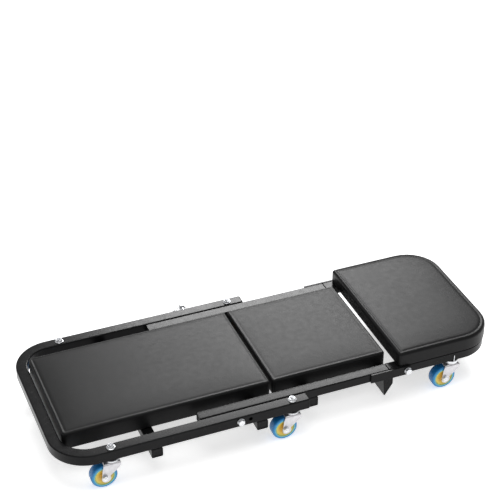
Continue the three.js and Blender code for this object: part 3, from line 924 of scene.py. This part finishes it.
# ---- pad screws, up through the tubes under the pads -------------------------------------------
def pad_screws(node, body, offsets, x=None):
    """Screws at offsets, in mm, from the middle in Y; x is the tube's middle unless given."""
    lo, hi = box(node)
    if x is None:
        x = (lo.x + hi.x) / 2
    b = Builder()
    for y in offsets:
        place = Matrix.Translation((x, MID_Y + y * MM, lo.z)) @ Matrix.Rotation(math.pi, 4, "X")
        b.lathe(washer(7.5, 3, 0, 1.1), place, 32, cyclic=True)
        b.lathe([(5.4, 1.1), (5.4, 2.2), (4.8, 3.3), (3.4, 4.1), (1.6, 4.4)], place, 32)
    place_mesh(f"{node}_screws", b.mesh(f"{node}_screws", "zinc"), body)


for node in ("base_cross_tube_foot", "base_cross_tube_pivot", "middle_cross_tube"):
    pad_screws(node, node.split("_")[0], (-90, 90))
pad_screws("head_frame_tube", "head", (-60, 60), box("head_frame_tube")[1].x - HALF_TUBE)


# ---- padded pieces ------------------------------------------------------------------------------
PITCH = 8 * MM  # size of the pads' quads
SLACK = 1.5 * MM  # how far under its full height a cover starts
CORNER_STEPS = 8
SHARP_PAD = 60

VOXEL = 4 * MM
PRESSURE = 4.0
LAST_FRAME = 20
MOST_STEP = 1.9 * MM  # the furthest that the cloth may move the cover
EVENING_ROUNDS = 120


def outline(lo, hi, radii, inset):
    """Plan outline of a pad: radii are for its low-X and high-X corners."""
    low, high = (max(r - inset, 1.2 * MM) for r in radii)
    x0, x1 = lo.x + inset + low, hi.x - inset - high
    corners = [
        (x1, hi.y - inset - high, high), (x0, hi.y - inset - low, low),
        (x0, lo.y + inset + low, low), (x1, lo.y + inset + high, high),
    ]
    arcs = []
    for k, (cx, cy, r) in enumerate(corners):
        turns = [(k + i / CORNER_STEPS) * math.pi / 2 for i in range(CORNER_STEPS + 1)]
        arcs.append([(cx + r * math.cos(t), cy + r * math.sin(t)) for t in turns])
    points = []
    for k, bend in enumerate(arcs):
        points += bend
        (ax, ay), (bx, by) = bend[-1], arcs[(k + 1) % 4][0]
        count = round(((hi.x - lo.x) if k % 2 == 0 else (hi.y - lo.y)) / PITCH)
        points += [
            (ax + (bx - ax) * i / count, ay + (by - ay) * i / count) for i in range(1, count)
        ]
    return points


def loft(lo, hi, radii, levels):
    """A closed body through the pad's outline at each (height, inset)."""
    return Builder().rings([
        [Vector((x, y, z)) for x, y in outline(lo, hi, radii, inset)] for z, inset in levels
    ])


def roll(top, edge, turn=15):
    """Heights and insets of the rolled top edge."""
    turns = [math.radians(a) for a in range(0, 91, turn)]
    return [(top - edge + edge * math.sin(t), edge * (1 - math.cos(t))) for t in turns]


def stuffing(low, cover):
    """Inflates a remeshed copy of the cover as cloth, with its sides and underside held.

    The cover's underside is at the height low. Returns a function that says how far the cloth
    moved at a point of the cover.
    """
    ob = loose_object("stuffing", cover)
    remesh = ob.modifiers.new("remesh", "REMESH")
    remesh.mode = "VOXEL"
    remesh.voxel_size = VOXEL
    bake(ob)
    surface = BVHTree.FromPolygons(
        [v.co for v in cover.vertices], [p.vertices for p in cover.polygons],
    )
    for v in ob.data.vertices:
        v.co = surface.find_nearest(v.co)[0]
    rest = [v.co.copy() for v in ob.data.vertices]
    faces = [tuple(p.vertices) for p in ob.data.polygons]
    top = max(c.z for c in rest)
    held = ob.vertex_groups.new(name="held")
    for i, c in enumerate(rest):
        share = min(0.9, (top - c.z) / (3 * MM))
        if c.z < low + 4 * MM:
            held.add([i], 1.0, "REPLACE")
        elif share > 0:
            held.add([i], share, "REPLACE")
    modifier = ob.modifiers.new("cloth", "CLOTH")
    settings = modifier.settings
    settings.quality = 5
    settings.mass = 0.35
    settings.tension_stiffness = 24
    settings.compression_stiffness = 24
    settings.shear_stiffness = 12
    settings.bending_stiffness = 3
    settings.use_pressure = True
    settings.uniform_pressure_force = PRESSURE
    settings.vertex_group_mass = "held"
    settings.effector_weights.gravity = 0
    modifier.point_cache.frame_start = 1
    modifier.point_cache.frame_end = LAST_FRAME
    for f in range(1, LAST_FRAME + 1):
        SCENE.frame_set(f)
    graph = bpy.context.evaluated_depsgraph_get()
    moved = [v.co.copy() for v in ob.evaluated_get(graph).data.vertices]
    SCENE.frame_set(1)
    steps = []
    for a, b in zip(rest, moved):
        step = b - a
        steps.append(step if step.length <= MOST_STEP else step.normalized() * MOST_STEP)
    steps = evened(ob.data, steps)
    bpy.data.objects.remove(ob)
    tree = BVHTree.FromPolygons(rest, faces)

    def step_at(point):
        near, _, face, _ = tree.find_nearest(point)
        corners = faces[face]
        weights = poly_3d_calc([rest[i] for i in corners], near)
        return sum((steps[i] * w for i, w in zip(corners, weights)), Vector())

    return step_at


def evened(me, steps):
    """Averages each point's movement with its neighbours', which takes out ripples."""
    ends = np.array([e.vertices[:] for e in me.edges])
    count = np.zeros(len(me.vertices))
    np.add.at(count, ends.ravel(), 1)
    field = np.array([list(step) for step in steps])
    for _ in range(EVENING_ROUNDS):
        total = field * 2
        np.add.at(total, ends[:, 0], field[ends[:, 1]])
        np.add.at(total, ends[:, 1], field[ends[:, 0]])
        field = total / (2 + count)[:, None]
    return [Vector(row) for row in field]


def pad(body, radii, edge, dip_depth):
    """Cover with a rolled edge and a shallow dip inside it, stuffed by a cloth simulation.

    The cover folds round the board below it and leaves a pocket for it. Levels are (height,
    inset), from the pocket's ceiling, down, round the lower edge, up and across the top.
    """
    node = f"{body}_pad"
    name = f"{body}_cushion"
    lo, hi = box(node)
    board_lo, board_hi = box(node + "_board")
    top = hi.z - SLACK
    pocket = board_lo.x - lo.x - 0.4 * MM
    half = min(hi.x - lo.x, hi.y - lo.y) / 2
    levels = [
        (board_hi.z + 0.4 * MM, pocket + 0.6 * MM), (board_hi.z + 0.2 * MM, pocket),
        (lo.z + 0.6 * MM, pocket), (lo.z, pocket - 1 * MM), (lo.z, 1.0 * MM),
        (lo.z + 0.3 * MM, 0.3 * MM), (lo.z + 1.0 * MM, 0), (lo.z + 3 * MM, 0),
    ]
    side = top - edge - lo.z - 3 * MM
    levels += [(lo.z + 3 * MM + side * t, 0) for t in (0.3, 0.6, 0.85)]
    levels += roll(top, edge, 10)
    dip = [
        (1.0, 0.12), (2.0, 0.42), (3.0, 0.75), (4.0, 0.85), (5.2, 0.7), (6.6, 0.42), (8.5, 0.16),
        (11, 0.03),
    ]
    levels += [(top - dip_depth * depth, edge + across * MM) for across, depth in dip]
    inner = edge + 16 * MM
    rows = int((half - inner) / PITCH)
    levels += [(top, inner + (half - 14 * MM - inner) * i / rows) for i in range(rows + 1)]
    ob = loose_object(name, loft(lo, hi, radii, levels).mesh(name, "vinyl", SHARP_PAD))
    cover = loft(lo, hi, radii, [(lo.z, 0.6 * MM), (lo.z + 1.5 * MM, 0)] + roll(top, edge))
    step_at = stuffing(lo.z, cover.mesh("cover", "vinyl"))
    for v in ob.data.vertices:
        if v.co.z > board_hi.z + 2 * MM:
            v.co += step_at(v.co)
    bm = bmesh.new()
    bm.from_mesh(ob.data)
    caps = [f for f in bm.faces if len(f.verts) > 4]
    bmesh.ops.triangulate(bm, faces=caps, ngon_method="BEAUTY")
    bm.to_mesh(ob.data)
    bm.free()
    shade(ob.data, SHARP_PAD)
    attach(ob, body)
    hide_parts(node)


pad("base", radii=(10 * MM, 6 * MM), edge=4 * MM, dip_depth=0.5 * MM)
pad("middle", radii=(6 * MM, 6 * MM), edge=4 * MM, dip_depth=0.4 * MM)
pad("head", radii=(8 * MM, 77.6 * MM), edge=6.5 * MM, dip_depth=1.0 * MM)


# ---- floor, light and camera --------------------------------------------------------------------
FLOOR_GLOW = 0.6
WORLD_GLOW = 0.5
CAMERA_TARGET = Vector((0.1566, 0.4075, 0.060))
CAMERA_AZIMUTH = math.radians(-22.04)
CAMERA_ELEVATION = math.radians(33.72)
CAMERA_DISTANCE = 3.6196
CAMERA_LENS = 104.9


def floor():
    """A white floor that glows a little, so that it stays white in the shade."""
    me = bpy.data.meshes.new("floor")
    s = 12.0
    me.from_pydata([(-s, -s, 0), (s, -s, 0), (s, s, 0), (-s, s, 0)], [], [(0, 1, 2, 3)])
    m = Material("floor", (0.93, 0.93, 0.93), 0.7)
    m.colour(m.ramp(m.noise(0.8, 2), [(0.3, (0.92, 0.92, 0.92)), (0.7, (0.94, 0.94, 0.94))]))
    m.set(Emission_Color=(1, 1, 1, 1), Emission_Strength=FLOOR_GLOW)
    me.materials.append(m.material)
    ob = loose_object("floor", me)


def aimed_object(name, data, at, direction):
    """A light or camera at a place, looking along a direction."""
    ob = bpy.data.objects.new(name, data)
    ob.location = at
    ob.rotation_mode = "QUATERNION"
    ob.rotation_quaternion = direction.to_track_quat("-Z", "Y")
    SCENE.collection.objects.link(ob)
    return ob


def area_light(name, at, aim, size, power):
    data = bpy.data.lights.new(name, "AREA")
    data.shape = "RECTANGLE"
    data.size, data.size_y = size
    data.energy = power
    aimed_object(name, data, at, Vector(aim) - Vector(at))


floor()
world = bpy.data.worlds.new("studio")
SCENE.world = world
world.use_nodes = True
background = world.node_tree.nodes["Background"]
background.inputs["Color"].default_value = (1, 1, 1, 1)
background.inputs["Strength"].default_value = WORLD_GLOW
area_light("softbox", at=(1.326, 2.933, 2.28), aim=(0.05, 0, 0.1), size=(1.6, 0.8), power=92)
area_light("overhead", at=(-0.2, -0.2, 3.2), aim=(0, 0, 0), size=(2.6, 1.6), power=30)
SCENE.view_settings.view_transform = "Standard"

back = Vector((
    math.sin(CAMERA_AZIMUTH) * math.cos(CAMERA_ELEVATION),
    -math.cos(CAMERA_AZIMUTH) * math.cos(CAMERA_ELEVATION), math.sin(CAMERA_ELEVATION),
))
camera_data = bpy.data.cameras.new("camera")
camera_data.lens = CAMERA_LENS
SCENE.camera = aimed_object("camera", camera_data, CAMERA_TARGET + back * CAMERA_DISTANCE, -back)
